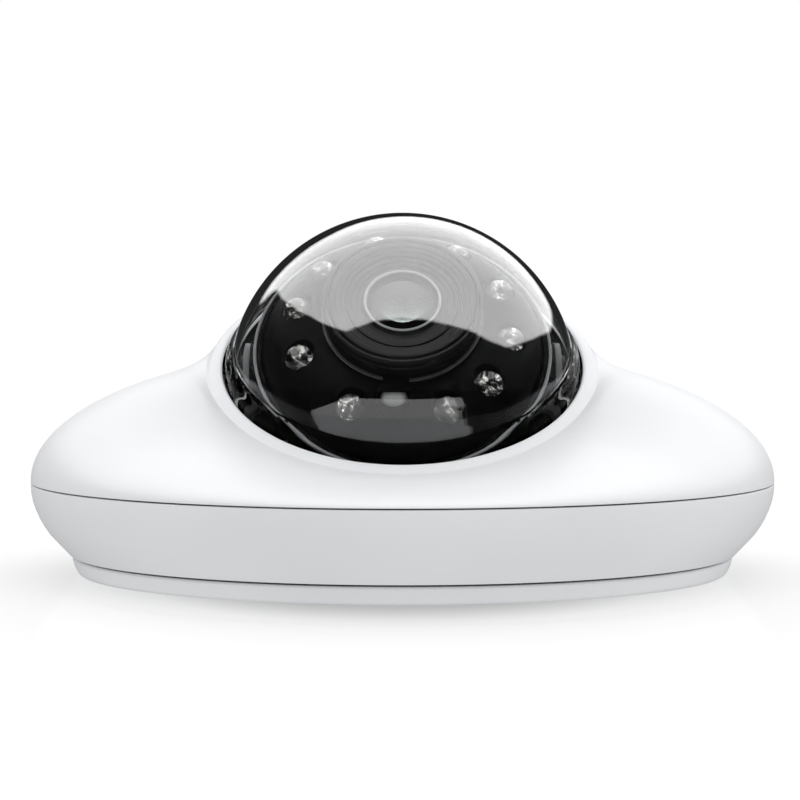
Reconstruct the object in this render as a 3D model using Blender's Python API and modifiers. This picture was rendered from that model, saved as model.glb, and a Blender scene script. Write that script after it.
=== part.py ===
"""Dome security camera: a round two-part housing with a tilted clear dome over a pan-and-tilt camera.

Metres, +Z up, the front toward -Y, the origin at the centre of the mounting face.
The dome, the pan ring and the camera module share one centre, PIVOT.
"""

import math

import bpy
from mathutils import Matrix, Vector
from mathutils.bvhtree import BVHTree

MM = 0.001
STEPS = 36

# Housing
BODY_R = 74.6
PLATE_TOP = 3.4
LOWER_BOTTOM = 3.8
SEAM_Z = 18.1
COVER_BOTTOM = 18.4
WALL = 2.0

# Base fixings
FLOOR_BOTTOM = 8.4
FLOOR_TOP = 10.4
LUG_RING_R = 48.0
LUG_ANGLES = (66, 186, 306)
WALL_SCREW_RING_R = 36.0
WALL_SCREW_ANGLES = (30, 150, 270)
HOUSING_SCREW_R = 60.0
HOUSING_SCREW_ANGLES = (40, 140, 220, 320)
BOARD_SCREWS = ((-30, 21), (30, 21), (-24, 50), (24, 50))

# The dome leans forward by DOME_TILT about PIVOT; the camera looks out at MODULE_TILT.
PIVOT = (0.0, 2.6, 36.8)
DOME_TILT = math.radians(30)
MODULE_TILT = math.radians(51)
DOME_OUTER = 35.3
DOME_INNER = 34.1

# The cover's lip, as (radius, height) in the dome frame: flush at the front, a collar at the back
LIP_R = 36.3
SEAT_H = 3.3
SEAT_R = 38.35
LIP_FRONT = ((36.3, 5.35), (36.6, 5.65), (37.1, 5.7), (37.6, 5.6), (38.1, 5.45), (38.6, 5.35), (39.2, 5.2))
LIP_REAR = ((36.3, 5.35), (36.6, 5.65), (37.1, 5.7), (37.8, 5.4), (38.9, 4.5), (39.9, 3.0), (41.3, -0.6))
COLLAR_FALL = 10
OUTER_STEPS = (0.03, 0.07, 0.12, 0.2, 0.32, 0.48, 0.64, 0.78, 0.88, 0.95, 0.985, 1.0)
INNER_STEPS = (0.97, 0.9, 0.78, 0.6, 0.4, 0.2, 0.08)

# Infrared lamps: angles round the lens, seen from the front
LED_ANGLES = (26, 60, 104, 138, 167, 199, 242, 294, 322, 353)
LED_RING_R = 21.2
LED_BULB_R = 2.8
SENSOR_ANGLE = 265
SENSOR_RING_R = 19.2

CLAMP_SCREW_ANGLES = (20, 90, 160, 270)
SEAT_LEGS = ((-29.2, 8.1), (29.2, 8.1), (-17.2, 28.6), (17.2, 28.6))

parts = None
cutters = None
materials = {}


def clear_scene():
    for obj in list(bpy.data.objects):
        bpy.data.objects.remove(obj, do_unlink=True)


def collection(name):
    made = bpy.data.collections.new(name)
    bpy.context.scene.collection.children.link(made)
    return made


def material(name, colour, metallic=0.0, roughness=0.5, transmission=0.0):
    if name not in materials:
        made = bpy.data.materials.new(name)
        made.use_nodes = True
        shader = made.node_tree.nodes["Principled BSDF"]
        shader.inputs["Base Color"].default_value = (*colour, 1)
        shader.inputs["Metallic"].default_value = metallic
        shader.inputs["Roughness"].default_value = roughness
        shader.inputs["Transmission Weight"].default_value = transmission
        made.diffuse_color = (*colour, 1)
        materials[name] = made
    return materials[name]


WHITE = ("shell_white", (0.86, 0.87, 0.89), 0.0, 0.35)
BLACK = ("module_black", (0.02, 0.02, 0.022), 0.0, 0.35)
LINER = ("liner_black", (0.012, 0.012, 0.012), 0.0, 0.7)
GREY = ("trim_grey", (0.32, 0.33, 0.34), 0.3, 0.4)
STEEL = ("steel", (0.62, 0.62, 0.62), 1.0, 0.3)
ALLOY = ("cast_alloy", (0.55, 0.56, 0.57), 1.0, 0.45)
SEAL = ("seal_rubber", (0.03, 0.03, 0.03), 0.0, 0.85)
BOARD = ("board_green", (0.03, 0.18, 0.08), 0.0, 0.5)
CHIP = ("chip_black", (0.03, 0.03, 0.035), 0.0, 0.45)
CLEAR = ("dome_clear", (0.9, 0.92, 0.93), 0.0, 0.03, 0.9)
LENS = ("lens_glass", (0.05, 0.09, 0.08), 0.0, 0.02, 0.3)
LAMP = ("lamp_clear", (0.85, 0.87, 0.88), 0.0, 0.05, 0.6)


def finish(obj, look=None, home=None, parent=None):
    for holder in list(obj.users_collection):
        holder.objects.unlink(obj)
    (home or parts).objects.link(obj)
    obj.parent = parent
    if look:
        obj.data.materials.clear()
        obj.data.materials.append(material(*look))
    return obj


def frame_empty(name, location=(0, 0, 0), rotation=(0, 0, 0), parent=None):
    empty = bpy.data.objects.new(name, None)
    empty.empty_display_size = 0.01
    parts.objects.link(empty)
    empty.location = [v * MM for v in location]
    empty.rotation_euler = rotation
    empty.parent = parent
    return empty


def place(obj, location=(0, 0, 0), rotation=(0, 0, 0)):
    obj.location = [v * MM for v in location]
    obj.rotation_euler = rotation
    return obj


def lathe(name, profile, look=None, parent=None, location=(0, 0, 0), rotation=(0, 0, 0), steps=STEPS,
          home=None):
    """A (radius, height) profile in mm, running down the outer side, turned round the object's own Z.

    A profile that starts and ends on the axis is left open; any other one is closed into a ring."""
    mesh = bpy.data.meshes.new(name)
    on_axis = profile[0][0] == 0 and profile[-1][0] == 0
    edges = [(i, i + 1) for i in range(len(profile) - 1)]
    if not on_axis:
        edges.append((len(profile) - 1, 0))
    mesh.from_pydata([(r * MM, 0, z * MM) for r, z in profile], edges, [])
    obj = finish(bpy.data.objects.new(name, mesh), look, home, parent)
    screw = obj.modifiers.new("turn", "SCREW")
    screw.steps = screw.render_steps = steps
    screw.use_merge_vertices = True
    screw.merge_threshold = 0.00002
    screw.use_normal_calculate = False
    screw.use_smooth_shade = False
    return place(obj, location, rotation)


def disc(name, radius, z0, z1, look=None, parent=None, bevel=0.0, steps=STEPS, home=None, location=(0, 0, 0),
         rotation=(0, 0, 0)):
    b = bevel
    if b:
        profile = [(0, z1), (radius - b, z1), (radius, z1 - b), (radius, z0 + b), (radius - b, z0), (0, z0)]
    else:
        profile = [(0, z1), (radius, z1), (radius, z0), (0, z0)]
    return lathe(name, profile, look, parent, location, rotation, steps, home)


def ring(name, inner, outer, z0, z1, look=None, parent=None, bevel=0.0, steps=STEPS, home=None):
    b = bevel
    if b:
        profile = [(outer - b, z1), (outer, z1 - b), (outer, z0 + b), (outer - b, z0),
                   (inner + b, z0), (inner, z0 + b), (inner, z1 - b), (inner + b, z1)]
    else:
        profile = [(outer, z1), (outer, z0), (inner, z0), (inner, z1)]
    return lathe(name, profile, look, parent, (0, 0, 0), (0, 0, 0), steps, home)


def box(name, low, high, look=None, parent=None, bevel=0.0, home=None):
    """A block between two corners in mm, given in the parent's frame."""
    bpy.ops.mesh.primitive_cube_add(size=1)
    obj = bpy.context.active_object
    obj.name = obj.data.name = name
    size = [(b - a) * MM for a, b in zip(low, high)]
    obj.data.transform(Matrix.Diagonal((*size, 1)))
    finish(obj, look, home, parent)
    obj.location = [(a + b) / 2 * MM for a, b in zip(low, high)]
    if bevel:
        modifier = obj.modifiers.new("edges", "BEVEL")
        modifier.width = bevel * MM
        modifier.segments = 2
    return obj


def cut(target, cutter, operation="DIFFERENCE"):
    """Joins or cuts with a helper, which moves to the cutters and keeps its place."""
    modifier = target.modifiers.new(cutter.name, "BOOLEAN")
    modifier.operation = operation
    modifier.solver = "EXACT"
    modifier.object = cutter
    for holder in list(cutter.users_collection):
        holder.objects.unlink(cutter)
    cutters.objects.link(cutter)
    cutter.hide_render = True
    cutter.display_type = "WIRE"


def around(radius, degrees):
    angle = math.radians(degrees)
    return radius * math.cos(angle), radius * math.sin(angle)


def smooth_step(a, b, x):
    t = min(max((x - a) / (b - a), 0.0), 1.0)
    return t * t * (3 - 2 * t)


# Housing


def make_mounting_plate():
    plate = lathe("mounting_plate", [
        (0, PLATE_TOP), (65.9, PLATE_TOP), (66.3, 3.0), (65.7, 1.2), (65.1, 0.35), (64.7, 0), (0, 0)],
                  ALLOY, steps=44)
    for i, degrees in enumerate(LUG_ANGLES):
        x, y = around(LUG_RING_R, degrees)
        lug = lathe(f"lug_{i}", [
            (0, 12.2), (4.2, 12.2), (4.2, 10.7), (2.6, 10.7), (2.6, PLATE_TOP - 1), (0, PLATE_TOP - 1)],
                    None, None, (x, y, 0), (0, 0, 0.1), 16)
        cut(plate, lug, "UNION")
    for i, degrees in enumerate(WALL_SCREW_ANGLES):
        x, y = around(WALL_SCREW_RING_R, degrees)
        hole = lathe(f"wall_screw_hole_{i}", [
            (0, 5), (4.4, 5), (4.4, 1.9), (2.3, 1.9), (2.3, -1), (0, -1)],
                     None, None, (x, y, 0), (0, 0, 0.1), 16)
        cut(plate, hole)
    cut(plate, disc("plate_cable_hole", 13, -1, 5, steps=40, location=(0, 33, 0)))


def make_lower_housing():
    housing = lathe("lower_housing", [
        (0, FLOOR_TOP), (66.8, FLOOR_TOP), (70.0, 12.8), (72.2, SEAM_Z), (74.5, SEAM_Z), (74.5, 16.4), (74.15, 14.6),
        (73.6, 13.0), (72.9, 11.4), (72.0, 9.8), (70.9, 8.2), (66.8, LOWER_BOTTOM), (64.0, LOWER_BOTTOM),
        (64.0, FLOOR_BOTTOM), (0, FLOOR_BOTTOM)], WHITE, steps=52)
    # Each lug enters at its mouth and turns 24 degrees to the closed end of its slot.
    for i, degrees in enumerate(LUG_ANGLES):
        for k, turn in enumerate((0, 12)):
            x, y = around(LUG_RING_R, degrees + turn + 6)
            slot = box(f"bayonet_slot_{i}_{k}", (-3.3, -5.2, 7), (3.3, 5.2, 12))
            place(slot, (x, y, 9.5), (0, 0, math.radians(degrees + turn + 6)))
            cut(housing, slot)
            x, y = around(LUG_RING_R, degrees + turn)
            cut(housing, disc(f"bayonet_turn_{i}_{k}", 3.2, 7, 12, steps=14, location=(x, y, 0)))
        x, y = around(LUG_RING_R, degrees + 24)
        cut(housing, disc(f"bayonet_mouth_{i}", 4.8, 7, 12, steps=12, location=(x, y, 0)))
    cut(housing, box("jack_way", (-8.5, 26.6, 7), (8.5, 41.4, 12)))
    cut(housing, disc("reset_way", 1.9, 7, 12, steps=14, location=(24, 30, 0)))
    for i, (x, y) in enumerate(BOARD_SCREWS):
        cut(housing, disc(f"board_pillar_{i}", 3.0, 10.0, 13.2, steps=14, location=(x, y, 0)), "UNION")
    for i, degrees in enumerate(HOUSING_SCREW_ANGLES):
        x, y = around(HOUSING_SCREW_R, degrees)
        cut(housing, disc(f"screw_hole_{i}", 1.6, 7, 12, steps=12, location=(x, y, 0)))
        lathe(f"housing_screw_{i + 1}", [
            (0, 16.0), (1.2, 16.0), (1.2, 8.1), (2.7, 8.1), (2.7, 7.0), (2.2, 6.5), (0, 6.5)], STEEL, None, (x, y, 0),
              steps=10)


def make_base_electronics():
    board = box("main_board", (-34, 17.5, 13.5), (34, 53, 15.1), BOARD)
    cut(board, box("board_jack_way", (-8.6, 26.4, 12), (8.6, 41.6, 17)))
    for i, (x, y) in enumerate(SEAT_LEGS[2:]):
        cut(board, disc(f"board_leg_way_{i}", 2.8, 12, 17, steps=14, location=(x, y, 0)))
    for i, (x, y) in enumerate(BOARD_SCREWS):
        cut(board, disc(f"board_hole_{i}", 1.4, 12, 17, steps=12, location=(x, y, 0)))
        lathe(f"board_screw_{i + 1}", [
            (0, 16.9), (1.9, 16.9), (2.4, 16.3), (2.4, 15.3), (1.0, 15.3), (1.0, 13.4), (0, 13.4)], STEEL, None,
              (x, y, 0), steps=10)
    jack = box("ethernet_jack", (-8.2, 27, 8.7), (8.2, 41, 26.0), STEEL, None, 0.3)
    cut(jack, box("jack_socket", (-5.9, 30.0, 8), (5.9, 38.4, 22.5)))
    gasket = box("jack_gasket", (-10.6, 24.4, 6.9), (10.6, 43.0, 8.1), SEAL, None, 0.3)
    cut(gasket, box("gasket_mouth", (-7.4, 28.2, 6), (7.4, 40.0, 9)))
    box("processor", (-26, 33.5, 15.4), (-14, 44.5, 16.8), CHIP)
    sink = box("heatsink", (-27, 32.5, 17.1), (-13, 45.5, 24.0), ALLOY)
    for i in range(4):
        x = -24.9 + 3.0 * i
        cut(sink, box(f"fin_gap_{i}", (x, 30, 19.0), (x + 1.6, 48, 26)))
    disc("capacitor", 4.0, 15.4, 25.5, CHIP, None, 0.4, 20, None, (21.5, 38.5, 0))
    box("reset_switch", (21.4, 27.6, 12.2), (26.6, 32.4, 13.2), CHIP)
    lathe("reset_button", [
        (0, 11.8), (1.0, 11.8), (1.2, 11.4), (2.8, 11.4), (2.8, 10.7), (1.6, 10.7), (1.6, 7.4), (1.3, 7.1), (0, 7.1)],
          SEAL, None, (24, 30, 0), steps=12)
    ring("cover_seal", 69.2, 70.9, 16.4, 18.0, SEAL, None, 0, 40)


def on_dome_circle(turn, rho, h):
    """The point of the leaning circle of radius rho, h above PIVOT along the dome axis, at a turn from the front."""
    side, fore = rho * math.sin(turn), rho * math.cos(turn)
    sin_t, cos_t = math.sin(DOME_TILT), math.cos(DOME_TILT)
    return Vector(PIVOT) + Vector((side, -fore * cos_t - h * sin_t, -fore * sin_t + h * cos_t))


def saucer_height(r):
    """The height of the cover's sides and back above its bottom edge, at a radius from the centre."""
    s = min(max((r - 34.0) / (BODY_R - 34.0), 0.0), 1.0)
    return 23.6 * max(0.0, 1 - s ** 1.5) ** (1 / 2.05)


def saucer_point(turn, start, s):
    """A point of the outer surface, s of the way from the lip's foot to the seam."""
    rim = Vector((BODY_R * math.sin(turn), -BODY_R * math.cos(turn), COVER_BOTTOM))
    point = start.lerp(rim, s)
    flat = (start.z - COVER_BOTTOM) * math.sqrt(max(0.0, 1 - s * s))
    r, r_start = math.hypot(point.x, point.y), math.hypot(start.x, start.y)
    collar = (start.z - COVER_BOTTOM - saucer_height(r_start)) * (1 - s) ** COLLAR_FALL
    round_side = saucer_height(r) + collar
    back = smooth_step(math.radians(45), math.radians(92), math.acos(math.cos(turn)))
    point.z = COVER_BOTTOM + flat + (round_side - flat) * back
    return point


def cover_section(turn):
    """The cover's closed section at a turn from the front: the lip, the outer surface, then the inner one."""
    rise = smooth_step(math.radians(60), math.radians(165), math.acos(math.cos(turn)))
    section = [on_dome_circle(turn, LIP_R, SEAT_H)]
    for front, rear in zip(LIP_FRONT, LIP_REAR):
        rho, h = (f + (r - f) * rise for f, r in zip(front, rear))
        section.append(on_dome_circle(turn, rho, h))
    start = section[-1]
    section += [saucer_point(turn, start, s) for s in OUTER_STEPS]
    out = Vector((math.sin(turn), -math.cos(turn), 0))
    bottom = section[-1] - out * WALL
    section.append(bottom)
    for s in INNER_STEPS:
        along = saucer_point(turn, start, min(s + 0.01, 1)) - saucer_point(turn, start, max(s - 0.01, 0))
        run, fall = along.dot(out), -along.z
        size = math.hypot(run, fall)
        point = saucer_point(turn, start, s) - (out * fall + Vector((0, 0, run))) / size * WALL
        point.z = max(point.z, COVER_BOTTOM + 0.3)
        section.append(point)
    section.append(on_dome_circle(turn, SEAT_R, SEAT_H))
    return section


def make_top_cover():
    """The saucer lofts from the leaning lip out to the round seam, so its sections are unlike each other."""
    count = 52
    verts, faces = [], []
    for i in range(count):
        verts += [tuple(p * MM) for p in cover_section(2 * math.pi * i / count)]
    per = len(verts) // count
    for i in range(count):
        for j in range(per):
            a, b = i * per + j, i * per + (j + 1) % per
            c, d = ((i + 1) % count) * per + (j + 1) % per, ((i + 1) % count) * per + j
            faces.append((a, b, c, d))
    mesh = bpy.data.meshes.new("top_cover")
    mesh.from_pydata(verts, [], faces)
    cover = finish(bpy.data.objects.new("top_cover", mesh), WHITE)
    wall = BVHTree.FromPolygons(verts, faces)
    for i, degrees in enumerate(HOUSING_SCREW_ANGLES):
        x, y = around(HOUSING_SCREW_R, degrees)
        low_x, low_y = around(HOUSING_SCREW_R + 3.2, degrees)
        under = wall.ray_cast(Vector((low_x * MM, low_y * MM, 0.012)), Vector((0, 0, 1)))[0].z / MM
        cut(cover, disc(f"cover_boss_{i}", 3.2, 10.8, under + 0.5, steps=16, location=(x, y, 0)), "UNION")
        cut(cover, disc(f"boss_hole_{i}", 1.5, 9, 17.5, steps=12, location=(x, y, 0)))


# Dome and pan parts, in the dome frame


def arc(radius, z_from, z_to, count):
    """Points of a sphere's profile from one height to another, as (radius, height)."""
    a0, a1 = math.asin(z_from / radius), math.asin(z_to / radius)
    angles = [a0 + (a1 - a0) * i / count for i in range(count + 1)]
    return [(radius * math.cos(a), radius * math.sin(a)) for a in angles]


def make_dome(frame):
    outer = [(0, DOME_OUTER)] + arc(DOME_OUTER, 34.6, 9.0, 9) + [
        (35.1, 8.7), (35.55, 8.0), (35.9, 5.4), (35.95, 1.7), (38.0, 1.7), (38.0, -0.1)]
    inner = [(33.3, -0.1), (33.3, 0.6)] + arc(DOME_INNER, 2.0, 33.4, 9) + [(0, DOME_INNER)]
    lathe("dome_bubble", outer + inner, CLEAR, frame, steps=48)


def make_dome_fixings(frame):
    ring("dome_seal", 36.5, 38.0, 2.0, 3.0, SEAL, frame)
    clamp = ring("dome_clamp_ring", 34.1, 37.7, -2.3, -0.4, STEEL, frame)
    lathe("inner_shroud", [(33.8, -0.4), (33.8, -7.4), (33.3, -7.4), (33.3, -0.4)], LINER, frame)
    for i, degrees in enumerate(CLAMP_SCREW_ANGLES):
        x, y = around(35.9, degrees)
        cut(clamp, disc(f"clamp_hole_{i}", 0.9, -5, 1, parent=frame, steps=12, location=(x, y, 0)))
        lathe(f"clamp_screw_{i + 1}", [
            (0, -0.25), (0.6, -0.25), (0.6, -2.6), (1.2, -2.6), (1.3, -2.9), (1.1, -3.5), (0, -3.5)], STEEL, frame,
              (x, y, 0), steps=10)


def make_pan(frame, pan):
    seat = ring("gimbal_seat", 27.0, 31.4, -11.7, -10.3, BLACK, frame)
    for i, (x, y) in enumerate(SEAT_LEGS):
        low = 10.7
        high = seat_height(y)
        leg = lathe(f"seat_leg_{i}", [
            (0, high), (2.2, high), (2.2, low + 1.6), (3.6, low + 1.6), (3.6, low), (0, low)], None, None,
                    (x, y, 0), (0, 0, 0.1), 14)
        cut(seat, leg, "UNION")
    ring("pan_ring", 26.4, 32.6, -10.0, -7.8, BLACK, pan)
    for side, name in ((-1, "ear_left"), (1, "ear_right")):
        low, high = sorted((side * 30.4, side * 31.6))
        ear = box(name, (low, -6, -7.5), (high, 6, 3.5), GREY, pan)
        top = disc(f"{name}_top", 6, -0.6, 0.6, parent=pan, steps=32, location=(side * 31.0, 0, 3.5),
                   rotation=(0, math.pi / 2, 0))
        cut(ear, top, "UNION")
        hole = disc(f"{name}_hole", 1.75, -3, 3, parent=pan, steps=12, location=(side * 31.0, 0, 0),
                    rotation=(0, math.pi / 2, 0))
        cut(ear, hole)
        cut(ear, disc(f"{name}_lock_hole", 0.95, -3, 3, parent=pan, steps=12, location=(side * 31.0, 0, 5.8),
                      rotation=(0, math.pi / 2, 0)))
        lathe(f"lock_screw_{name[4:]}", [
            (0, 0.95), (1.2, 0.95), (1.4, 0.75), (1.4, 0.3), (0.7, 0.3), (0.7, -1.3), (0, -1.3)], STEEL, pan,
              (side * 31.6, 0, 5.8), (0, side * math.pi / 2, 0), steps=12)


def seat_height(y):
    """The height in mm of the gimbal seat's mid plane over a point of the floor at y."""
    normal = (0, -math.sin(DOME_TILT), math.cos(DOME_TILT))
    level = -11.6
    return PIVOT[2] + (level - (y - PIVOT[1]) * normal[1]) / normal[2]


# Camera module, in the module frame: its Z is the line of sight


def make_module(module):
    lathe("module_housing", [
        (0, -9.6), (20.6, -9.6), (22.2, -8.6), (22.2, 7.6), (24.0, 7.6), (24.0, -9.2), (22.6, -11.6), (0, -11.6)],
          BLACK, module, steps=36)
    for side, name in ((-1, "tilt_pin_left"), (1, "tilt_pin_right")):
        disc(name, 1.45, -3.5, 3.5, STEEL, module, 0.2, 12, None, (side * 27.85, 0, 0), (0, math.pi / 2, 0))


def make_face(module):
    face = lathe("module_face", [
        (15.3, 21.8), (19.0, 21.0), (21.5, 20.0), (24.0, 18.4), (26.0, 16.4), (27.4, 14.2), (27.6, 12.6), (27.6, 8.0),
        (15.2, 8.0), (15.2, 21.6)], BLACK, module, steps=44)
    for i, degrees in enumerate(LED_ANGLES):
        x, y = around(LED_RING_R, degrees)
        cut(face, disc(f"led_hole_{i}", 3.15, 5, 25, parent=module, steps=16, location=(x, y, 0)))
    x, y = around(SENSOR_RING_R, SENSOR_ANGLE)
    cut(face, disc("sensor_hole", 3.1, 5, 25, parent=module, steps=12, location=(x, y, 0)))


def make_led(index, degrees, module):
    x, y = around(LED_RING_R, degrees)
    r = LED_BULB_R
    dome = [(r * math.sin(a), 18.5 + r * math.cos(a)) for a in [math.pi / 2 * k / 4 for k in range(5)]]
    dome[0] = (0, dome[0][1])
    lathe(f"led_{index:02d}", dome + [(r, 7.8), (0, 7.8)], LAMP, module, (x, y, 0), steps=12)


def make_lens(module):
    lathe("lens_barrel", [
        (14.6, 28.6), (15.1, 28.6), (15.5, 28.3), (15.5, 25.0), (14.9, 24.6), (14.9, 9.0), (12.4, 9.0), (12.4, 25.0),
        (14.6, 25.0)], BLACK, module, steps=36)
    lathe("focus_ring", [
        (11.2, 28.2), (13.9, 28.6), (14.3, 28.3), (14.3, 25.4), (12.9, 25.4), (12.9, 27.2), (11.2, 27.2)],
          BLACK, module, steps=36)
    lathe("lens_cell", [
        (7.2, 28.2), (8.4, 27.7), (10.8, 27.7), (10.8, 26.8), (12.0, 26.8), (12.0, 12.0), (7.6, 12.0), (7.6, 24.2),
        (7.2, 24.6)], BLACK, module, steps=36)
    dome = [(0, 28.9), (2.4, 28.7), (4.6, 28.1), (6.9, 27.0), (6.9, 24.8), (0, 24.8)]
    lathe("front_lens", dome, LENS, module, steps=32)
    disc("rear_lens", 7.2, 13.0, 16.5, LENS, module, 0, 32)


def make_electronics(module):
    ring("ir_led_board", 16.3, 21.9, 6.0, 7.4, BOARD, module, 0, 40)
    disc("sensor_board", 18.0, -5.0, -3.4, BOARD, module, 0, 32)
    box("image_sensor", (-6.5, -5.5, -3.1), (6.5, 5.5, -1.2), CHIP, module)
    box("ir_cut_filter", (-8.0, -7.0, 1.2), (8.0, 7.0, 2.2), LENS, module)
    x, y = around(SENSOR_RING_R, SENSOR_ANGLE)
    disc("light_sensor", 2.8, 7.8, 23.4, LAMP, module, 0.3, 16, None, (x, y, 0))


def build():
    global parts, cutters
    clear_scene()
    parts = collection("dome_camera")
    cutters = collection("cutters")
    dome_frame = frame_empty("dome_axis", PIVOT, (DOME_TILT, 0, 0))
    pan = frame_empty("pan_axis", (0, 0, 0), (0, 0, 0), dome_frame)
    module = frame_empty("tilt_axis", (0, 0, 0), (MODULE_TILT - DOME_TILT, 0, 0), pan)
    make_mounting_plate()
    make_lower_housing()
    make_top_cover()
    make_dome(dome_frame)
    make_dome_fixings(dome_frame)
    make_pan(dome_frame, pan)
    make_module(module)
    make_face(module)
    ring("module_rim", 27.9, 29.4, 8.2, 12.9, GREY, module, 0.35, 52)
    for index, degrees in enumerate(LED_ANGLES):
        make_led(index + 1, degrees, module)
    make_lens(module)
    make_electronics(module)
    make_base_electronics()


build()
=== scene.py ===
import math

import bmesh
import bpy
from mathutils import Matrix, Vector


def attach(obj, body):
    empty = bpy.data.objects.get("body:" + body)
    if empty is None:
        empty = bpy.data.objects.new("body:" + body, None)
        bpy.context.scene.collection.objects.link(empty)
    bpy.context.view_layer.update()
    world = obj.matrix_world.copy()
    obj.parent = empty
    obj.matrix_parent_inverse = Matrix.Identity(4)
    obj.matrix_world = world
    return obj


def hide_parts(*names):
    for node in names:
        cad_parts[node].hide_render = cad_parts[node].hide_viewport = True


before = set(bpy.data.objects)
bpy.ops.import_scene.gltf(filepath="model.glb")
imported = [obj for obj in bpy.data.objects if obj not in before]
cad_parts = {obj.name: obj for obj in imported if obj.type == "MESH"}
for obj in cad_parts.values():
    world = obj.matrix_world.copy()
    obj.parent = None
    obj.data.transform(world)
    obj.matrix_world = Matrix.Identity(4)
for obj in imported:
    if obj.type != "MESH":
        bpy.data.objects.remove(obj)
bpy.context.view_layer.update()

MM = 0.001
PIVOT = (0.0, 2.6, 36.8)
DOME_TILT = math.radians(30)
MODULE_TILT = math.radians(51)
BODY_R = 74.6
COVER_BOTTOM = 18.4
SEAM_Z = 18.1
WALL = 2.0
LIP_R, SEAT_R, SEAT_H = 36.3, 38.35, 3.3
LED_ANGLES = (26, 60, 104, 138, 167, 199, 242, 294, 322, 353)
LED_RING_R = 21.2
SENSOR_ANGLE, SENSOR_RING_R = 265, 19.2

scene = bpy.context.scene
scene.view_settings.view_transform = "Standard"

DOME_FRAME = Matrix.Translation([v * MM for v in PIVOT]) @ Matrix.Rotation(DOME_TILT, 4, "X")
MODULE_FRAME = Matrix.Translation([v * MM for v in PIVOT]) @ Matrix.Rotation(MODULE_TILT, 4, "X")
WORLD_FRAME = Matrix.Identity(4)


# Node helpers


class Tree:
    """A node tree, with short calls for its nodes and links."""

    def __init__(self, tree):
        self.tree = tree

    def node(self, kind, **settings):
        made = self.tree.nodes.new(kind)
        for key, value in settings.items():
            setattr(made, key, value)
        return made

    def link(self, a, b):
        self.tree.links.new(a, b)

    def feed(self, socket, value):
        if isinstance(value, (int, float)):
            socket.default_value = value
        else:
            self.link(value, socket)

    def maths(self, operation, *values):
        made = self.node("ShaderNodeMath", operation=operation)
        for socket, value in zip(made.inputs, values):
            self.feed(socket, value)
        return made.outputs[0]


class Nodes(Tree):
    """A material's node tree, with short calls for the nodes that the materials below share."""

    def __init__(self, name):
        self.material = bpy.data.materials.new(name)
        self.material.use_nodes = True
        super().__init__(self.material.node_tree)
        self.shader = self.tree.nodes["Principled BSDF"]
        self.output = self.tree.nodes["Material Output"]

    def mix(self, fac, first, second):
        made = self.node("ShaderNodeMixShader")
        self.feed(made.inputs["Fac"], fac)
        self.link(first.outputs[0], made.inputs[1])
        self.link(second.outputs[0], made.inputs[2])
        return made

    def coords(self):
        return self.node("ShaderNodeTexCoord").outputs["Object"]

    def noise(self, scale, detail=3.0, roughness=0.55):
        made = self.node("ShaderNodeTexNoise")
        made.inputs["Scale"].default_value = scale
        made.inputs["Detail"].default_value = detail
        made.inputs["Roughness"].default_value = roughness
        self.link(self.coords(), made.inputs["Vector"])
        return made.outputs["Fac"]

    def ramp(self, fac, stops):
        made = self.node("ShaderNodeValToRGB")
        elements = made.color_ramp.elements
        for element, (place, colour) in zip(elements, (stops[0], stops[-1])):
            element.position = place
            element.color = (*colour, 1)
        for place, colour in stops[1:-1]:
            elements.new(place).color = (*colour, 1)
        self.link(fac, made.inputs["Fac"])
        return made.outputs["Color"]

    def span(self, fac, low, high):
        made = self.node("ShaderNodeMapRange")
        made.inputs["To Min"].default_value = low
        made.inputs["To Max"].default_value = high
        self.link(fac, made.inputs["Value"])
        return made.outputs["Result"]

    def bump(self, height, strength, distance):
        made = self.node("ShaderNodeBump")
        made.inputs["Strength"].default_value = strength
        made.inputs["Distance"].default_value = distance
        self.link(height, made.inputs["Height"])
        self.link(made.outputs["Normal"], self.shader.inputs["Normal"])


def surface(name, dark, light, roughness, scale=400, bump=0.1, depth=0.00002, metallic=0.0, specular=0.5,
            cloud=None, spread=(0.3, 0.7)):
    """A moulded or machined surface: two close colours, varied gloss and a fine grain."""
    n = Nodes(name)
    cloud = n.noise(cloud or scale * 0.08, 4)
    n.link(n.ramp(cloud, ((spread[0], dark), (spread[1], light))), n.shader.inputs["Base Color"])
    n.link(n.span(n.noise(scale * 0.3), roughness[0], roughness[1]), n.shader.inputs["Roughness"])
    n.bump(n.noise(scale * 12, 2), bump, depth)
    n.shader.inputs["Metallic"].default_value = metallic
    n.shader.inputs["Specular IOR Level"].default_value = specular
    return n.material


def clear(name, colour, ior, roughness=0.0, reflection_tint=1.0):
    """Clear plastic or glass that lets lamp light through to what it covers."""
    n = Nodes(name)
    n.shader.inputs["Base Color"].default_value = (*colour, 1)
    n.shader.inputs["Transmission Weight"].default_value = 1.0
    n.shader.inputs["Roughness"].default_value = roughness
    n.shader.inputs["IOR"].default_value = ior
    n.shader.inputs["Specular Tint"].default_value = (reflection_tint, reflection_tint, reflection_tint, 1)
    path = n.node("ShaderNodeLightPath")
    thin = n.node("ShaderNodeBsdfTransparent")
    thin.inputs["Color"].default_value = (*[c * 0.96 for c in colour], 1)
    pick = n.node("ShaderNodeMath", operation="MAXIMUM")
    n.link(path.outputs["Is Shadow Ray"], pick.inputs[0])
    n.link(path.outputs["Is Diffuse Ray"], pick.inputs[1])
    n.link(n.mix(pick.outputs[0], n.shader, thin).outputs[0], n.output.inputs["Surface"])
    return n.material


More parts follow.
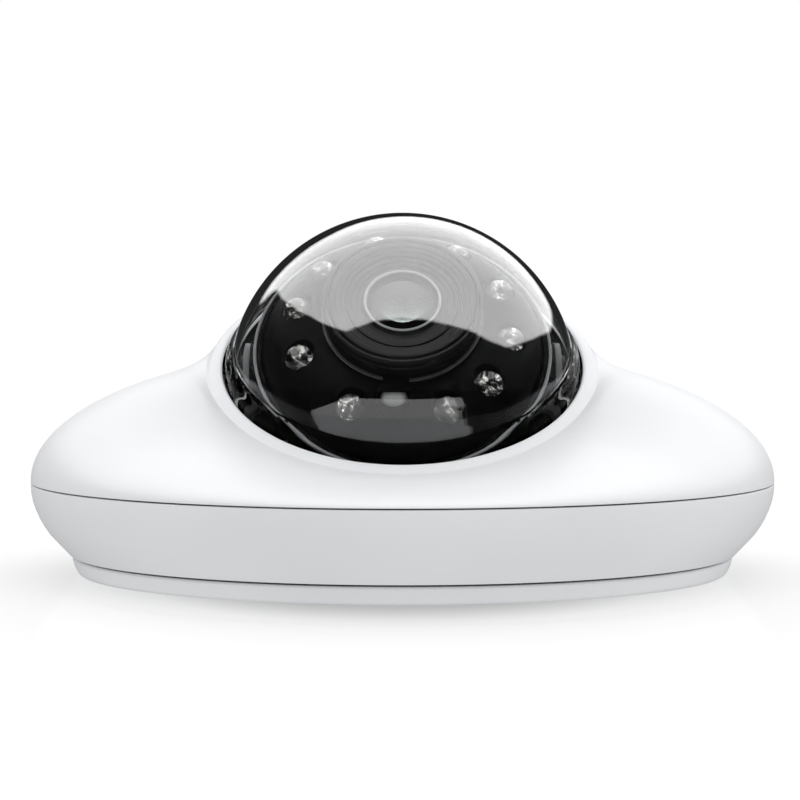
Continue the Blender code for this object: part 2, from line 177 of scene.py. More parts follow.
M = {
    "shell": surface("shell_white", (0.80, 0.81, 0.83), (0.84, 0.85, 0.865), (0.38, 0.46), 300, 0.05, 0.00001,
                     specular=0.12),
    "black": surface("module_black", (0.0016, 0.0016, 0.0018), (0.0032, 0.0032, 0.0036), (0.34, 0.46), 500,
                     0.12, specular=0.03),
    "satin": surface("barrel_black", (0.0022, 0.0022, 0.0024), (0.0045, 0.0045, 0.005), (0.26, 0.34), 500, 0.08,
                     specular=0.13),
    # Black liner for the shroud, pan ring, iris and gimbal seat; also painted shade on the white shells' inside
    # faces.
    "liner_and_painted_shade": surface("liner_black", (0.0012, 0.0012, 0.0012), (0.0024, 0.0024, 0.0024), (0.7, 0.85), 500, 0.2,
                     specular=0.02),
    "trim": surface("trim_grey", (0.20, 0.205, 0.21), (0.27, 0.275, 0.28), (0.32, 0.42), 500, 0.1),
    "steel": surface("steel", (0.50, 0.50, 0.50), (0.62, 0.62, 0.62), (0.22, 0.34), 700, 0.15, metallic=1.0),
    "alloy": surface("cast_alloy", (0.42, 0.43, 0.44), (0.52, 0.53, 0.54), (0.42, 0.55), 500, 0.4,
                     metallic=1.0),
    "seal": surface("seal_rubber", (0.012, 0.012, 0.012), (0.02, 0.02, 0.02), (0.7, 0.85), 500, 0.3),
    "board": surface("board_green", (0.010, 0.085, 0.035), (0.018, 0.12, 0.05), (0.35, 0.5), 900, 0.3),
    "chip": surface("chip_black", (0.015, 0.015, 0.017), (0.022, 0.022, 0.025), (0.45, 0.6), 900, 0.3),
    "silver": surface("lamp_cup", (0.02, 0.02, 0.02), (0.97, 0.96, 0.94), (0.05, 0.12), 120, 1.0, 0.0004,
                      metallic=1.0, cloud=1600, spread=(0.44, 0.57)),
    "sensor": surface("sensor_window", (0.20, 0.205, 0.20), (0.27, 0.275, 0.27), (0.25, 0.35), 500, 0.1),
    "dome": clear("dome_clear", (0.985, 0.99, 0.99), 1.585),
    # Painted shade: the next two are copies of the dome's clear plastic with its reflection dimmed.
    "dome_foot_painted_shade": clear("dome_foot_painted_shade", (0.985, 0.99, 0.99), 1.585, reflection_tint=0.04),
    "dome_band_painted_shade": clear("dome_band_painted_shade", (0.985, 0.99, 0.99), 1.12, reflection_tint=0.5),
    "edge": surface("edge_grey", (0.05, 0.05, 0.052), (0.07, 0.07, 0.073), (0.3, 0.4), 500, 0.08, specular=0.3),
    "pale_seal": surface("seam_grey", (0.52, 0.53, 0.55), (0.58, 0.59, 0.61), (0.5, 0.65), 500, 0.2,
                         specular=0.2),
    "lamp": clear("lamp_clear", (0.97, 0.975, 0.98), 1.5, reflection_tint=0.6),
    "glass": clear("lens_glass", (0.80, 0.90, 0.84), 1.6, reflection_tint=0.15),
}


# Mesh helpers


def finish(obj, look, body, *nodes, slot=None):
    for holder in list(obj.users_collection):
        holder.objects.unlink(obj)
    scene.collection.objects.link(obj)
    obj.data.materials.clear()
    obj.data.materials.append(M[look])
    for polygon in obj.data.polygons:
        polygon.use_smooth = True
    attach(obj, body)
    if nodes:
        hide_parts(*nodes)
    return obj


def rounded(profile, radius=0.15, steps=2):
    """Rounds each corner of a (radius, height) profile by up to a radius, leaving points on the axis."""
    out = []
    count = len(profile)
    for i, point in enumerate(profile):
        a, p, b = Vector(profile[i - 1]), Vector(point), Vector(profile[(i + 1) % count])
        if p.x == 0 or (p - a).length < 1e-6 or (p - b).length < 1e-6:
            out.append(tuple(p))
            continue
        into, away = (p - a).normalized(), (b - p).normalized()
        if into.dot(away) > 0.94:
            out.append(tuple(p))
            continue
        reach = min(radius, (p - a).length * 0.45, (b - p).length * 0.45)
        start, end = p - into * reach, p + away * reach
        for k in range(steps + 1):
            t = k / steps
            out.append(tuple(start * (1 - t) ** 2 + p * 2 * t * (1 - t) + end * t * t))
    return out


def turned(name, profile, matrix=WORLD_FRAME, steps=128, at=(0, 0), bevel=0.15):
    """A solid of revolution from a closed (radius, height) profile in mm, about a line through at."""
    profile = rounded(profile, bevel) if bevel else profile
    mesh = bmesh.new()
    rings = []
    for k in range(steps):
        cos, sin = math.cos(2 * math.pi * k / steps), math.sin(2 * math.pi * k / steps)
        rings.append([None if r < 1e-6 and k else mesh.verts.new(
            ((at[0] + r * cos) * MM, (at[1] + r * sin) * MM, z * MM)) for r, z in profile])
    for ring in rings[1:]:
        for j, vert in enumerate(ring):
            if vert is None:
                ring[j] = rings[0][j]
    count = len(profile)
    for k in range(steps):
        a, b = rings[k], rings[(k + 1) % steps]
        for j in range(count):
            corners = [a[j], a[(j + 1) % count], b[(j + 1) % count], b[j]]
            corners = [v for i, v in enumerate(corners) if v not in corners[:i]]
            if len(corners) > 2:
                mesh.faces.new(corners)
    bmesh.ops.recalc_face_normals(mesh, faces=mesh.faces)
    data = bpy.data.meshes.new(name)
    mesh.to_mesh(data)
    mesh.free()
    data.transform(matrix)
    obj = bpy.data.objects.new(name, data)
    scene.collection.objects.link(obj)
    return obj


def sharpen(obj, degrees=35):
    """Marks edges steeper than an angle sharp, so that smooth shading stops there."""
    mesh = bmesh.new()
    mesh.from_mesh(obj.data)
    for edge in mesh.edges:
        if len(edge.link_faces) == 2:
            edge.smooth = edge.calc_face_angle(0.0) < math.radians(degrees)
    mesh.to_mesh(obj.data)
    mesh.free()
    return obj


def level_flat(obj):
    """Shades level faces flat, since the cut ones are long and would streak."""
    for polygon in obj.data.polygons:
        if abs(polygon.normal.z) > 0.9999:
            polygon.use_smooth = False


def block(name, low, high, matrix=WORLD_FRAME, bevel=0.3, segments=3):
    mesh = bmesh.new()
    bmesh.ops.create_cube(mesh, size=1)
    for vert in mesh.verts:
        vert.co = Vector([(a + (b - a) * (c + 0.5)) * MM for a, b, c in zip(low, high, vert.co)])
    if bevel:
        bmesh.ops.bevel(mesh, geom=mesh.edges[:], offset=bevel * MM, segments=segments, affect="EDGES",
                        profile=0.5)
    data = bpy.data.meshes.new(name)
    mesh.to_mesh(data)
    mesh.free()
    data.transform(matrix)
    obj = bpy.data.objects.new(name, data)
    scene.collection.objects.link(obj)
    return obj


def boolean(target, cutters, operation="DIFFERENCE"):
    for cutter in cutters:
        modifier = target.modifiers.new("cut", "BOOLEAN")
        modifier.operation = operation
        modifier.solver = "EXACT"
        modifier.object = cutter
    graph = bpy.context.evaluated_depsgraph_get()
    target.data = bpy.data.meshes.new_from_object(target.evaluated_get(graph))
    target.modifiers.clear()
    mesh = bmesh.new()
    mesh.from_mesh(target.data)
    bmesh.ops.remove_doubles(mesh, verts=mesh.verts, dist=0.000003)
    mesh.to_mesh(target.data)
    mesh.free()
    for cutter in cutters:
        bpy.data.objects.remove(cutter)
    return target


def around(radius, degrees):
    angle = math.radians(degrees)
    return radius * math.cos(angle), radius * math.sin(angle)


def smooth_step(a, b, x):
    t = min(max((x - a) / (b - a), 0.0), 1.0)
    return t * t * (3 - 2 * t)


# Cover: the same sections as the frame's, finer


LIP_FRONT = ((36.3, 5.35), (36.6, 5.65), (37.1, 5.7), (37.6, 5.6), (38.1, 5.45), (38.6, 5.35), (39.2, 5.2))
LIP_REAR = ((36.3, 5.35), (36.6, 5.65), (37.1, 5.7), (37.8, 5.4), (38.9, 4.5), (39.9, 3.0), (41.3, -0.6))
COLLAR_FALL = 10


def on_dome_circle(turn, rho, h):
    side, fore = rho * math.sin(turn), rho * math.cos(turn)
    sin_t, cos_t = math.sin(DOME_TILT), math.cos(DOME_TILT)
    return Vector(PIVOT) + Vector((side, -fore * cos_t - h * sin_t, -fore * sin_t + h * cos_t))


def saucer_height(r):
    s = min(max((r - 34.0) / (BODY_R - 34.0), 0.0), 1.0)
    return 23.6 * max(0.0, 1 - s ** 1.5) ** (1 / 2.05)


def saucer_point(turn, start, s):
    rim = Vector((BODY_R * math.sin(turn), -BODY_R * math.cos(turn), COVER_BOTTOM))
    point = start.lerp(rim, s)
    flat = (start.z - COVER_BOTTOM) * math.sqrt(max(0.0, 1 - s * s))
    r, r_start = math.hypot(point.x, point.y), math.hypot(start.x, start.y)
    collar = (start.z - COVER_BOTTOM - saucer_height(r_start)) * (1 - s) ** COLLAR_FALL
    round_side = saucer_height(r) + collar
    back = smooth_step(math.radians(45), math.radians(92), math.acos(math.cos(turn)))
    point.z = COVER_BOTTOM + flat + (round_side - flat) * back
    return point


def cover_section(turn):
    rise = smooth_step(math.radians(60), math.radians(165), math.acos(math.cos(turn)))
    lip = [(LIP_R, SEAT_H)]
    lip += [tuple(f + (r - f) * rise for f, r in zip(a, b)) for a, b in zip(LIP_FRONT, LIP_REAR)]
    section = [on_dome_circle(turn, *lip[0])]
    fine = []
    for i in range(1, len(lip) - 1):
        for t in (0.0, 0.34, 0.67):
            p0, p1, p2, p3 = (Vector(lip[max(1, min(len(lip) - 1, i + k))]) for k in (-1, 0, 1, 2))
            fine.append(0.5 * (2 * p1 + (p2 - p0) * t + (2 * p0 - 5 * p1 + 4 * p2 - p3) * t * t
                               + (3 * p1 - p0 - 3 * p2 + p3) * t ** 3))
    section += [on_dome_circle(turn, *p) for p in fine]
    start = on_dome_circle(turn, *lip[-1])
    section.append(start)
    steps = [0.012 * k for k in range(1, 12)] + [0.16 + 0.035 * k for k in range(16)]
    steps += [1 - 0.29 * (1 - k / 22) ** 2 for k in range(1, 22)] + [1.0]
    section += [saucer_point(turn, start, s) for s in steps]
    out = Vector((math.sin(turn), -math.cos(turn), 0))
    section.append(section[-1] - out * WALL)
    for s in (0.97, 0.9, 0.78, 0.6, 0.4, 0.2, 0.08):
        along = saucer_point(turn, start, min(s + 0.01, 1)) - saucer_point(turn, start, max(s - 0.01, 0))
        run, fall = along.dot(out), -along.z
        point = saucer_point(turn, start, s) - (out * fall + Vector((0, 0, run))) / math.hypot(run, fall) * WALL
        point.z = max(point.z, COVER_BOTTOM + 0.3)
        section.append(point)
    section.append(on_dome_circle(turn, SEAT_R, SEAT_H))
    return section


def make_cover():
    count = 192
    sections = [cover_section(2 * math.pi * i / count) for i in range(count)]
    per = len(sections[0])
    verts = [tuple(p * MM) for section in sections for p in section]
    faces = []
    for i in range(count):
        this, following = i * per, (i + 1) % count * per
        faces += [(this + j, this + (j + 1) % per, following + (j + 1) % per, following + j) for j in range(per)]
    data = bpy.data.meshes.new("cover_shell")
    data.from_pydata(verts, [], faces)
    obj = bpy.data.objects.new("cover_shell", data)
    scene.collection.objects.link(obj)
    finish(obj, "shell", "housing", "top_cover", slot="shell")
    obj.data.materials.append(M["liner_and_painted_shade"])
    # Painted shade: the white cover's seat faces at the dome and its inside faces take the black liner, so they show
    # dark.
    to_dome = DOME_FRAME.inverted()
    for polygon in obj.data.polygons:
        place = to_dome @ polygon.center
        if (place.z < 0.0052 and math.hypot(place.x, place.y) < 0.0364) or polygon.index % per > per - 10:
            polygon.material_index = 1
    sharpen(obj, 50)


def make_base():
    housing = turned("lower_shell", [
        (0, 10.4), (66.8, 10.4), (70.0, 12.8), (72.2, SEAM_Z), (74.45, SEAM_Z), (74.6, 17.9), (74.5, 16.4),
        (74.15, 14.6), (73.6, 13.0), (72.9, 11.4), (72.0, 9.8), (70.9, 8.2), (66.9, 4.0), (66.6, 3.8), (64.0, 3.8),
        (64.0, 8.4), (0, 8.4)], steps=192, bevel=0.12)
    cutters = [block("jack_way", (-8.5, 26.6, 7), (8.5, 41.4, 12), bevel=0)]
    for degrees in (66, 186, 306):
        for turn in (0, 12):
            x, y = around(48, degrees + turn + 6)
            spin = Matrix.Translation((x * MM, y * MM, 0.0095)) @ Matrix.Rotation(
                math.radians(degrees + turn + 6), 4, "Z")
            cutters.append(block("slot", (-3.3, -5.2, -2.5), (3.3, 5.2, 2.5), spin, 0))
            cutters.append(turned("turn", [(0, 12), (3.2, 12), (3.2, 7), (0, 7)], steps=32,
                                  at=around(48, degrees + turn), bevel=0))
        cutters.append(turned("mouth", [(0, 12), (4.8, 12), (4.8, 7), (0, 7)], steps=40,
                              at=around(48, degrees + 24), bevel=0))
    boolean(housing, cutters)
    finish(housing, "shell", "housing", "lower_housing", slot="shell")
    housing.data.materials.append(M["liner_and_painted_shade"])
    # Painted shade: the white housing's upward inside faces, under the cover, take the black liner, so they show
    # dark.
    for polygon in housing.data.polygons:
        polygon.material_index = int(0.0102 < polygon.center.z < 0.017 and polygon.normal.z > 0.3)
    sharpen(housing, 40)
    level_flat(housing)
    plate = turned("wall_plate", [
        (0, 3.4), (65.9, 3.4), (66.3, 3.0), (65.9, 1.6), (65.4, 0.6), (65.1, 0.25), (64.7, 0), (0, 0)],
                   steps=192, bevel=0.12)
    holes = [turned("cable", [(0, 5), (13, 5), (13, -1), (0, -1)], steps=64, at=(0, 33), bevel=0)]
    for degrees in (30, 150, 270):
        holes.append(turned("hole", [(0, 5), (4.4, 5), (4.4, 1.9), (2.3, 1.9), (2.3, -1), (0, -1)], steps=32,
                            at=around(36, degrees), bevel=0))
    boolean(plate, holes)
    lugs = [turned("lug", [(0, 12.2), (4.2, 12.2), (4.2, 10.7), (2.6, 10.7), (2.6, 2.4), (0, 2.4)], steps=32,
                   at=around(48, degrees), bevel=0.2) for degrees in (66, 186, 306)]
    boolean(plate, lugs, "UNION")
    level_flat(sharpen(finish(plate, "shell", "plate", "mounting_plate", slot="alloy"), 40))


# Dome


def arc(radius, z_from, z_to, count):
    a0, a1 = math.asin(z_from / radius), math.asin(z_to / radius)
    return [(radius * math.cos(a0 + (a1 - a0) * i / count), radius * math.sin(a0 + (a1 - a0) * i / count))
            for i in range(count + 1)]


def make_dome():
    profile = [(0, 35.3)] + arc(35.3, 35.29, 9.6, 60) + [
        (34.25, 9.0), (34.55, 8.6), (34.9, 8.2), (35.25, 7.8), (35.5, 7.3), (35.7, 6.4), (35.85, 5.0),
        (35.95, 1.7), (38.0, 1.7), (38.0, -0.1), (33.3, -0.1), (33.3, 0.6)] + arc(34.1, 2.0, 34.09, 60) + [(0, 34.1)]
    dome = turned("dome_shell", profile, DOME_FRAME, steps=224, bevel=0)
    finish(dome, "dome", "housing", "dome_bubble", slot="dome")
    dome.data.materials.append(M["dome_band_painted_shade"])
    dome.data.materials.append(M["dome_foot_painted_shade"])
    # Painted shade: the ring below 8.8 mm and patches low on either side of the front take the copies with dimmed
    # reflection, so they show dark.
    to_dome = DOME_FRAME.inverted()
    for polygon in dome.data.polygons:
        place = to_dome @ polygon.center
        side = place.x > 0.0189 - 0.6 * place.z or place.x < -0.0115 - 0.5 * place.z
        if place.z < 0.0088:
            polygon.material_index = 1
        elif place.y < 0 and place.z < 0.0115 - 0.1 * place.y and side:
            polygon.material_index = 2
    sharpen(dome, 40)
    shroud = turned("shroud", [(33.8, -0.4), (33.8, -7.4), (33.3, -7.4), (33.3, -0.4)], DOME_FRAME, 160,
                    bevel=0.1)
    sharpen(finish(shroud, "liner_and_painted_shade", "housing", "inner_shroud", slot="module"))
    pan = turned("pan_table", [(32.6, -7.8), (32.6, -10.0), (26.4, -10.0), (26.4, -7.8)], DOME_FRAME, 160,
                 bevel=0.4)
    sharpen(finish(pan, "liner_and_painted_shade", "pan", "pan_ring", slot="module"))


def make_ears():
    for side, name in ((-1, "left"), (1, "right")):
        low, high = sorted((side * 30.4, side * 31.6))
        ear = block(f"yoke_{name}", (low, -6, -7.5), (high, 6, 3.5), DOME_FRAME, 0.1, 2)
        spin = DOME_FRAME @ Matrix.Translation((side * 31.0 * MM, 0, 0)) @ Matrix.Rotation(math.pi / 2, 4, "Y")
        head = turned("head", [(0, 0.6), (6, 0.6), (6, -0.6), (0, -0.6)], spin @ Matrix.Translation(
            (-3.5 * MM, 0, 0)), 64, bevel=0.1)
        boolean(ear, [head], "UNION")
        hole = turned("hole", [(0, 3), (1.75, 3), (1.75, -3), (0, -3)], spin, 32, bevel=0)
        lock = turned("lock", [(0, 3), (0.95, 3), (0.95, -3), (0, -3)], spin @ Matrix.Translation(
            (-5.8 * MM, 0, 0)), 24, bevel=0)
        boolean(ear, [hole, lock])
        sharpen(finish(ear, "trim", "pan", f"ear_{name}", slot="trim"))
        spin = DOME_FRAME @ Matrix.Translation((side * 31.6 * MM, 0, 5.8 * MM)) @ Matrix.Rotation(
            side * math.pi / 2, 4, "Y")
        screw = turned(f"yoke_screw_{name}", [
            (0, 0.95), (0.3, 0.95), (0.35, 0.6), (0.5, 0.6), (0.55, 0.95), (1.2, 0.95), (1.4, 0.75), (1.4, 0.3),
            (0.7, 0.3), (0.7, -1.3), (0, -1.3)], spin, 32, bevel=0.05)
        sharpen(finish(screw, "edge", "pan", f"lock_screw_{name}", slot="steel"))


# Camera module


def make_face():
    face = turned("face", [
        (15.5, 21.85), (17.0, 21.6), (19.0, 21.1), (21.5, 20.1), (24.0, 18.5), (25.6, 17.0), (26.7, 15.4),
        (27.4, 13.9), (27.6, 12.6), (27.6, 8.0), (15.2, 8.0), (15.2, 21.6)], MODULE_FRAME, 192, bevel=0.1)
    holes = [turned("hole", [(0, 25), (3.15, 25), (3.15, 5), (0, 5)], MODULE_FRAME, 48, around(LED_RING_R, a), 0)
             for a in LED_ANGLES]
    holes.append(turned("hole", [(0, 25), (3.1, 25), (3.1, 5), (0, 5)], MODULE_FRAME, 48,
                        around(SENSOR_RING_R, SENSOR_ANGLE), 0))
    boolean(face, holes)
    sharpen(finish(face, "black", "tilt", "module_face", slot="module"))
    rim = turned("face_rim", [
        (29.4, 12.1), (29.4, 8.2), (27.9, 8.2), (27.9, 12.8), (28.6, 12.8), (28.7, 12.1)], MODULE_FRAME, 192,
                 bevel=0.1)
    sharpen(finish(rim, "black", "tilt", slot="module"))
    trim = turned("face_trim", [(29.4, 12.9), (29.4, 12.2), (28.75, 12.2), (28.75, 12.9)], MODULE_FRAME, 192,
                  bevel=0.25)
    sharpen(finish(trim, "trim", "tilt", "module_rim", slot="trim"))


def make_lamps():
    for i, degrees in enumerate(LED_ANGLES):
        at = around(LED_RING_R, degrees)
        name = f"{i + 1:02d}"
        bulb = [(0, 21.3)] + [(2.8 * math.sin(a), 18.5 + 2.8 * math.cos(a)) for a in
                              [math.pi / 2 * k / 12 for k in range(1, 13)]]
        bulb += [(2.8, 10.2), (2.95, 10.2), (2.95, 8.9), (0, 8.9)]
        sharpen(finish(turned(f"lamp_{name}", bulb, MODULE_FRAME, 48, at, 0), "lamp", "tilt", f"led_{name}",
                       slot="lamp"))
        cup = turned(f"lamp_cup_{name}", [
            (2.5, 18.7), (2.68, 18.7), (2.68, 18.2), (1.3, 15.0), (0.6, 14.8), (0.6, 9.2), (0, 9.2), (0, 16.3),
            (0.45, 16.3), (0.5, 15.5), (1.1, 15.5)],
                     MODULE_FRAME, 32, at, 0.05)
        sharpen(finish(cup, "silver", "tilt", slot="lamp"))


def make_sensor():
    at = around(SENSOR_RING_R, SENSOR_ANGLE)
    window = turned("light_window", [(0, 23.4), (1.4, 23.3), (2.3, 22.9), (2.75, 22.1), (2.8, 7.8), (0, 7.8)],
                    MODULE_FRAME, 64, at, 0.2)
    sharpen(finish(window, "sensor", "tilt", "light_sensor", slot="lamp"))
    hood = turned("light_hood", [(2.95, 23.7), (3.3, 23.7), (3.3, 21.2), (3.05, 21.0), (3.05, 12.0), (2.9, 12.0)],
                  MODULE_FRAME, 64, at, 0.08)
    # The black half cap over the window's upper half is painted shadow: a dark sheet where the window is shaded.
    cap = turned("cap", [(0, 24.1), (3.3, 24.1), (3.3, 23.5), (0, 23.5)], MODULE_FRAME, 64, at, 0.08)
    half = block("half", (at[0] - 4, at[1] - 5, 22), (at[0] + 4, at[1] + 0.6, 25), MODULE_FRAME, 0)
    boolean(cap, [half])
    boolean(hood, [cap], "UNION")
    sharpen(finish(hood, "black", "tilt", slot="module"))


def make_lens():
    barrel = turned("lens_tube", [
        (14.6, 28.6), (15.1, 28.6), (15.5, 28.3), (15.5, 27.2), (15.35, 27.1), (15.35, 26.8), (15.5, 26.7),
        (15.5, 25.0), (14.9, 24.6), (14.9, 9.0), (12.4, 9.0), (12.4, 25.0), (14.6, 25.0)], MODULE_FRAME, 160,
                    bevel=0.1)
    sharpen(finish(barrel, "satin", "tilt", "lens_barrel", slot="module"))
    ring = turned("lens_focus_ring", [
        (11.3, 28.1), (12.0, 28.1), (12.1, 28.35), (12.9, 28.35), (13.0, 28.6), (13.9, 28.6), (14.3, 28.3),
        (14.3, 25.4), (12.9, 25.4), (12.9, 27.2), (11.2, 27.2), (11.2, 28.0)], MODULE_FRAME, 160, bevel=0.07)
    sharpen(finish(ring, "satin", "focus", "focus_ring", slot="module"))
    cell = turned("lens_holder", [
        (7.15, 28.15), (7.45, 28.2), (7.7, 28.0), (8.0, 27.5), (8.9, 27.35), (9.0, 27.6), (9.9, 27.6), (10.0, 27.85),
        (10.8, 27.85), (10.8, 26.8), (12.0, 26.8), (12.0, 12.0), (7.6, 12.0), (7.6, 24.2), (7.15, 24.6)],
                  MODULE_FRAME, 160, bevel=0.06)
    sharpen(finish(cell, "satin", "lens", "lens_cell", slot="module"))
    retainer = turned("lens_trim", [(7.0, 28.35), (7.4, 28.4), (7.55, 28.25), (7.3, 28.1), (7.0, 28.1)],
                      MODULE_FRAME, 160, bevel=0.05)
    sharpen(finish(retainer, "trim", "lens", slot="trim"))
    glass = [(0, 28.7)] + [(6.9 * t, 28.7 - 1.6 * t * t) for t in [k / 16 for k in range(1, 17)]]
    glass += [(6.9, 25.0), (5.0, 24.2), (0, 23.4)]
    front = turned("lens_front", glass, MODULE_FRAME, 96, bevel=0)
    sharpen(finish(front, "glass", "lens", "front_lens", slot="lens"))
    flange = turned("lens_flange", [(15.0, 23.1), (15.7, 23.1), (15.7, 22.8), (15.0, 22.8)], MODULE_FRAME, 160,
                    bevel=0.08)
    boolean(flange, [block("notch", (-3.8, -17, 22), (1.3, -13, 24), MODULE_FRAME, 0)])
    sharpen(finish(flange, "edge", "tilt", slot="module"))
    rear = turned("lens_rear", [(0, 17.0), (3, 16.8), (7.2, 15.6), (7.2, 13.4), (3.5, 13.0), (0, 12.9)],
                  MODULE_FRAME, 96, bevel=0.1)
    sharpen(finish(rear, "glass", "lens", "rear_lens", slot="lens"))
    iris = turned("lens_iris", [(3.0, 20.6), (7.5, 20.9), (7.5, 20.1), (3.2, 20.1)], MODULE_FRAME, 96, bevel=0.05)
    sharpen(finish(iris, "liner_and_painted_shade", "lens", slot="module"))


# The nodes that keep their solids


KEPT = {
    "steel": ["dome_clamp_ring", "ethernet_jack"]
             + [f"{kind}_screw_{i}" for kind in ("clamp", "housing", "board") for i in range(1, 5)],
    "alloy": ["heatsink"],
    "liner_and_painted_shade": ["gimbal_seat"],
    "black": ["module_housing", "tilt_pin_left", "tilt_pin_right"],
    "seal": ["dome_seal", "jack_gasket", "reset_button"],
    "pale_seal": ["cover_seal"],
    "board": ["main_board", "ir_led_board", "sensor_board"],
    "chip": ["processor", "capacitor", "reset_switch", "image_sensor"],
    "glass": ["ir_cut_filter"],
}


def paint_kept():
    for look, names in KEPT.items():
        for name in names:
            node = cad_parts[name]
            if not node.material_slots:
                node.data.materials.append(M[look])
            for holder in node.material_slots:
                holder.material = M[look]


# Studio


FLOOR_SIZE, FLOOR_SHIFT = 6.0, 2.0
FLOOR_GLOW, FLOOR_BOUNCE, FLOOR_POLISH = 0.55, 0.92, 0.07
# Painted shadow on the floor: grey from under the part outwards, paling to white, as (share of 200 mm, grey)
FLOOR_PAINTED_SHADOW = ((0.20, 0.55), (0.24, 0.62), (0.33, 0.82), (0.42, 0.89), (0.51, 0.93), (0.80, 1.0))


def make_floor():
    mesh = bmesh.new()
    bmesh.ops.create_grid(mesh, x_segments=1, y_segments=1, size=FLOOR_SIZE)
    # Off centre, so that the diagonal between its two triangles isn't under the part.
    bmesh.ops.translate(mesh, vec=(FLOOR_SHIFT, 0, 0), verts=mesh.verts)
    data = bpy.data.meshes.new("floor")
    mesh.to_mesh(data)
    mesh.free()
    floor = bpy.data.objects.new("floor", data)
    scene.collection.objects.link(floor)
    n = Nodes("floor_white")
    # The painted shadow centres 30 mm in front of the part and falls off faster sideways.
    foot = n.node("ShaderNodeMapping")
    foot.inputs["Location"].default_value = (0, 0.03, 0)
    foot.inputs["Scale"].default_value = (1.4, 1, 1)
    n.link(n.coords(), foot.inputs["Vector"])
    reach = n.node("ShaderNodeVectorMath", operation="LENGTH")
    n.link(foot.outputs["Vector"], reach.inputs[0])
    painted_shadow = n.ramp(n.span(reach.outputs["Value"], 0, 5), [(place, (grey,) * 3) for place, grey in FLOOR_PAINTED_SHADOW])
    half = n.node("ShaderNodeVectorMath", operation="SCALE")
    half.inputs["Scale"].default_value = 0.5
    n.link(painted_shadow, half.inputs[0])
    matt = n.node("ShaderNodeBsdfDiffuse")
    n.link(half.outputs["Vector"], matt.inputs["Color"])
    lit = n.node("ShaderNodeEmission")
    lit.inputs["Strength"].default_value = FLOOR_GLOW
    n.link(painted_shadow, lit.inputs["Color"])
    both = n.node("ShaderNodeAddShader")
    n.link(matt.outputs[0], both.inputs[0])
    n.link(lit.outputs[0], both.inputs[1])
    polish = n.node("ShaderNodeBsdfGlossy")
    polish.inputs["Roughness"].default_value = 0.06
    bounce = n.node("ShaderNodeEmission")
    bounce.inputs["Strength"].default_value = FLOOR_BOUNCE
    path = n.node("ShaderNodeLightPath")
    seen = n.mix(path.outputs["Is Diffuse Ray"], n.mix(FLOOR_POLISH, both, polish), bounce)
    glow = n.node("ShaderNodeEmission")
    n.link(mirrored_sheet(n), glow.inputs["Strength"])
    mirror = n.maths("MAXIMUM", path.outputs["Is Glossy Ray"], path.outputs["Is Transmission Ray"])
    n.link(n.mix(mirror, seen, glow).outputs[0], n.output.inputs["Surface"])
    n.tree.nodes.remove(n.shader)
    floor.data.materials.append(n.material)


def mirrored_sheet(n):
    """What the dome mirrors of the floor: a pale sheet in front that narrows towards the part, dark beyond it."""
    place = n.node("ShaderNodeNewGeometry")
    axis = n.node("ShaderNodeSeparateXYZ")
    n.link(place.outputs["Position"], axis.inputs[0])
    x, y, _ = axis.outputs
    left = n.maths("GREATER_THAN", x, n.maths("MULTIPLY_ADD", y, 0.40, -0.122))
    right = n.maths("LESS_THAN", x, n.maths("MULTIPLY_ADD", y, -0.73, 0.017))
    far = n.maths("GREATER_THAN", y, -0.42)
    near = n.maths("LESS_THAN", y, -0.085)
    sheet = n.maths("MULTIPLY", n.maths("MULTIPLY", left, right), n.maths("MULTIPLY", far, near))
    return n.maths("ADD", sheet, 0.01)


# The lower edge of the lit ceiling, as (azimuth from the front, elevation) in degrees
SOFTBOX_EDGE = (
    (-180, 24), (-165, 27), (-157, 24), (-150, 18), (-145, 16), (-140, 24), (-136, 27), (-109, 34.5), (-82, 37.6),
    (-59, 36.8), (-45, 36), (-38, 39.5), (-24, 45.7), (-2, 48.7), (20, 46.7), (39, 41.3), (54, 35.3), (66, 27),
    (78, 21), (96, 20), (114, 18), (130, 14.6), (150, 13), (168, 20), (180, 24))
GLOSS_FRONT, GLOSS_BACK, GLOSS_DARK = 4.0, 2.0, 0.02
SKY_LOW, SKY_HIGH = 0.66, 1.344


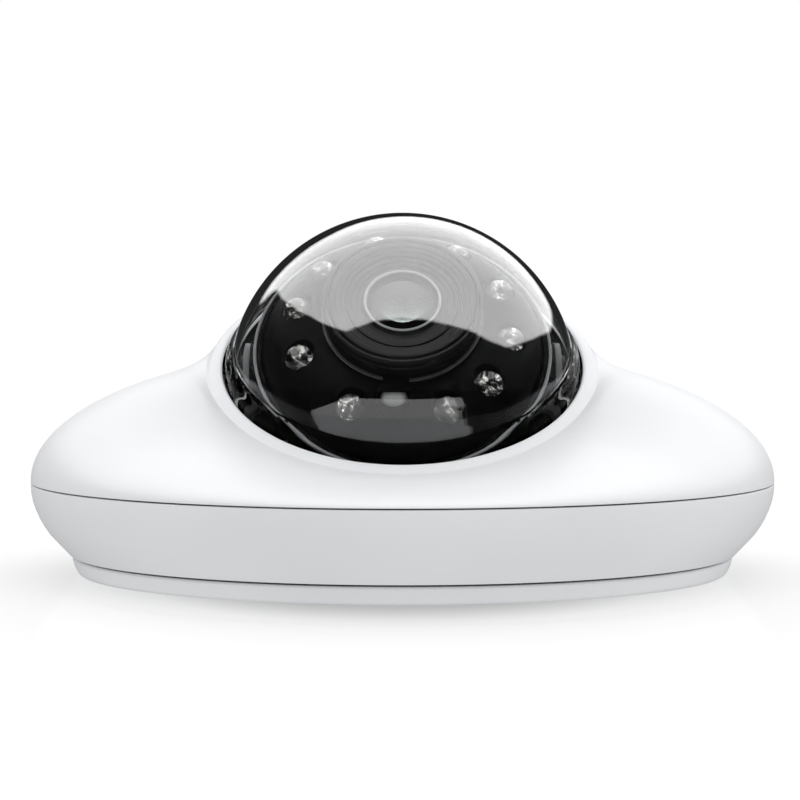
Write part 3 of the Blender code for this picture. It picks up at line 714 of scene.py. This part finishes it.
def make_world():
    """Matt surfaces see a soft sky, shiny ones a shaped ceiling light, and the camera plain white."""
    world = bpy.data.worlds.new("studio")
    scene.world = world
    world.use_nodes = True
    world.cycles.sampling_method = "NONE"
    world.node_tree.nodes.clear()
    n = Tree(world.node_tree)
    split = n.node("ShaderNodeSeparateXYZ")
    n.link(n.node("ShaderNodeTexCoord").outputs["Generated"], split.inputs[0])
    x, y, z = split.outputs
    elevation = n.maths("MULTIPLY", n.maths("ARCSINE", z), 2 / math.pi)
    sky = n.node("ShaderNodeMapRange")
    for key, value in zip(("From Min", "From Max", "To Min", "To Max"), (-0.1, 0.7, SKY_LOW, SKY_HIGH)):
        sky.inputs[key].default_value = value
    n.link(elevation, sky.inputs["Value"])
    lean = n.maths("ADD", n.maths("MULTIPLY_ADD", x, 0.07, 1.0), n.maths("MULTIPLY", y, 0.25))
    matt = n.maths("MULTIPLY", sky.outputs["Result"], lean)
    path = n.node("ShaderNodeLightPath")
    pick = n.node("ShaderNodeMix", data_type="FLOAT")
    n.link(path.outputs["Is Diffuse Ray"], pick.inputs["Factor"])
    n.link(ceiling_light(n, x, y, elevation), pick.inputs["A"])
    n.link(matt, pick.inputs["B"])
    seen = n.node("ShaderNodeMix", data_type="FLOAT")
    n.link(path.outputs["Is Camera Ray"], seen.inputs["Factor"])
    n.link(pick.outputs["Result"], seen.inputs["A"])
    seen.inputs["B"].default_value = 1.0
    background = n.node("ShaderNodeBackground")
    background.inputs["Color"].default_value = (1, 1, 1, 1)
    n.link(seen.outputs["Result"], background.inputs["Strength"])
    n.link(background.outputs[0], n.node("ShaderNodeOutputWorld").inputs["Surface"])


def ceiling_light(n, x, y, elevation):
    """The light above SOFTBOX_EDGE, brighter in front than behind."""
    azimuth = n.maths("MULTIPLY_ADD", n.maths("ARCTAN2", x, n.maths("MULTIPLY", y, -1)), 0.5 / math.pi, 0.5)
    curve = n.node("ShaderNodeFloatCurve")
    points = curve.mapping.curves[0].points
    for i, (turn, height) in enumerate(SOFTBOX_EDGE):
        place = ((turn + 180) / 360, height / 90)
        if i < 2:
            points[i].location = place
        else:
            points.new(*place)
    curve.mapping.use_clip = False
    for point in points:
        point.handle_type = "VECTOR"
    curve.mapping.update()
    n.link(azimuth, curve.inputs["Value"])
    box = n.node("ShaderNodeMapRange", interpolation_type="SMOOTHSTEP")
    box.inputs["From Min"].default_value = -0.006
    box.inputs["From Max"].default_value = 0.012
    n.link(n.maths("SUBTRACT", elevation, curve.outputs["Value"]), box.inputs["Value"])
    fade = n.node("ShaderNodeMapRange")
    for key, value in zip(("From Min", "From Max", "To Min", "To Max"), (-0.4, 0.9, GLOSS_FRONT, GLOSS_BACK)):
        fade.inputs[key].default_value = value
    n.link(y, fade.inputs["Value"])
    return n.maths("MULTIPLY_ADD", box.outputs["Result"], fade.outputs["Result"], GLOSS_DARK)


SENSOR_WIDTH, FOCAL_LENGTH = 36, 146.34
CAMERA_PLACE, CAMERA_DIP = (-0.0005, -0.655, 0.0653), 2.704


def make_camera():
    camera = bpy.data.cameras.new("camera")
    camera.sensor_width = SENSOR_WIDTH
    camera.lens = FOCAL_LENGTH
    obj = bpy.data.objects.new("camera", camera)
    scene.collection.objects.link(obj)
    obj.location = CAMERA_PLACE
    obj.rotation_euler = (math.radians(90 - CAMERA_DIP), 0, 0)
    scene.camera = obj


make_cover()
make_base()
make_dome()
make_ears()
make_face()
make_lamps()
make_sensor()
make_lens()
paint_kept()
make_floor()
make_world()
make_camera()
